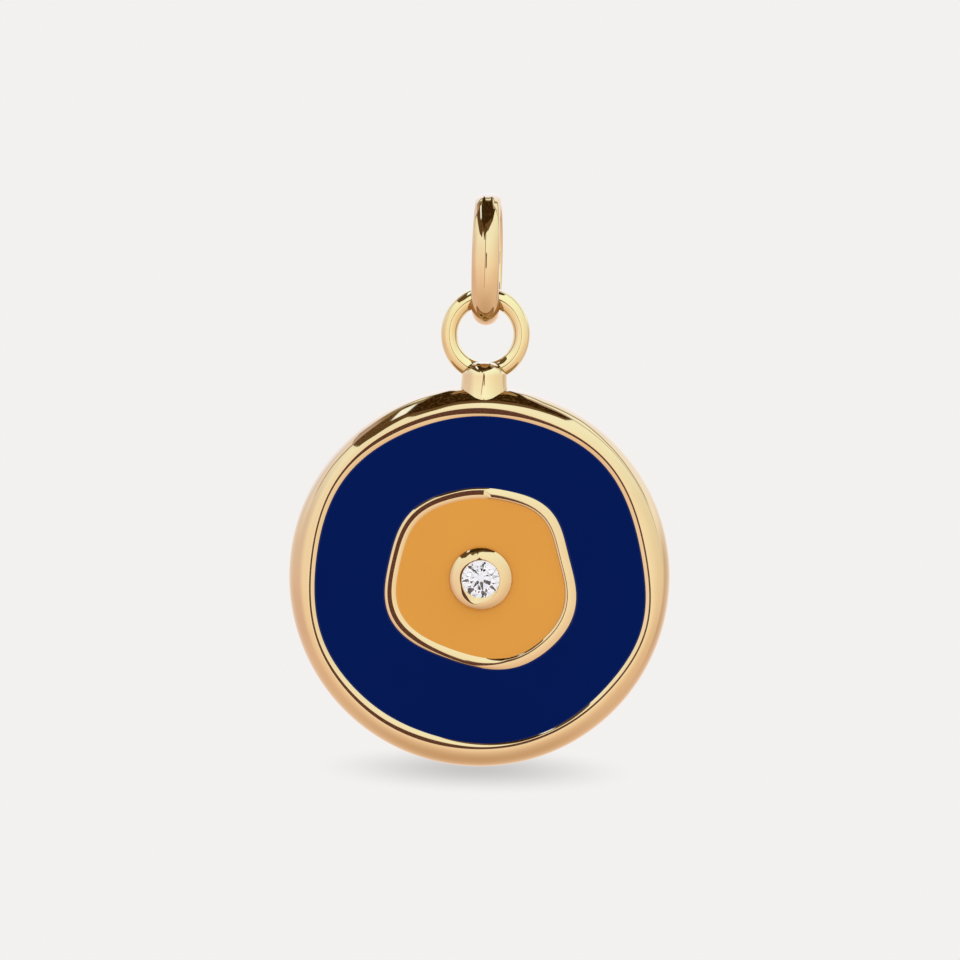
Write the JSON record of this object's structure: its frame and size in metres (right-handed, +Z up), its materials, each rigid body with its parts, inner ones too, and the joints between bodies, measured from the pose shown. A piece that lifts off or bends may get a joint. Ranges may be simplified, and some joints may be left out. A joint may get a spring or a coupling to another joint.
{
  "type": "evil eye pendant",
  "caption": "Round gold pendant with a dark blue enamel field, an orange enamel iris and a small set stone, hung by a wire ring from an oval bail.",
  "frame": {"origin": "where a chain sits, at the top of the hole in the bail", "axes": "+Z up, the enamelled face towards -Y, +X to the right as seen from the front"},
  "size_m": [0.018, 0.0046, 0.0271],
  "materials": {
    "gold": "polished gold plate",
    "blue": "glossy enamel",
    "amber": "glossy enamel",
    "stone": "clear, cut and polished"
  },
  "bodies": {
    "bail": {"bail": "gold"},
    "pendant": {"setting": "gold", "blue_enamel": "blue", "amber_enamel": "amber", "stone": "stone"}
  },
  "joints": [
    {"name": "swing", "type": "hinge", "parent": "bail", "child": "pendant", "pos_m": [0, 0, -0.00419], "axis": [1, 0, 0], "range_deg": [-115, 115]}
  ]
}
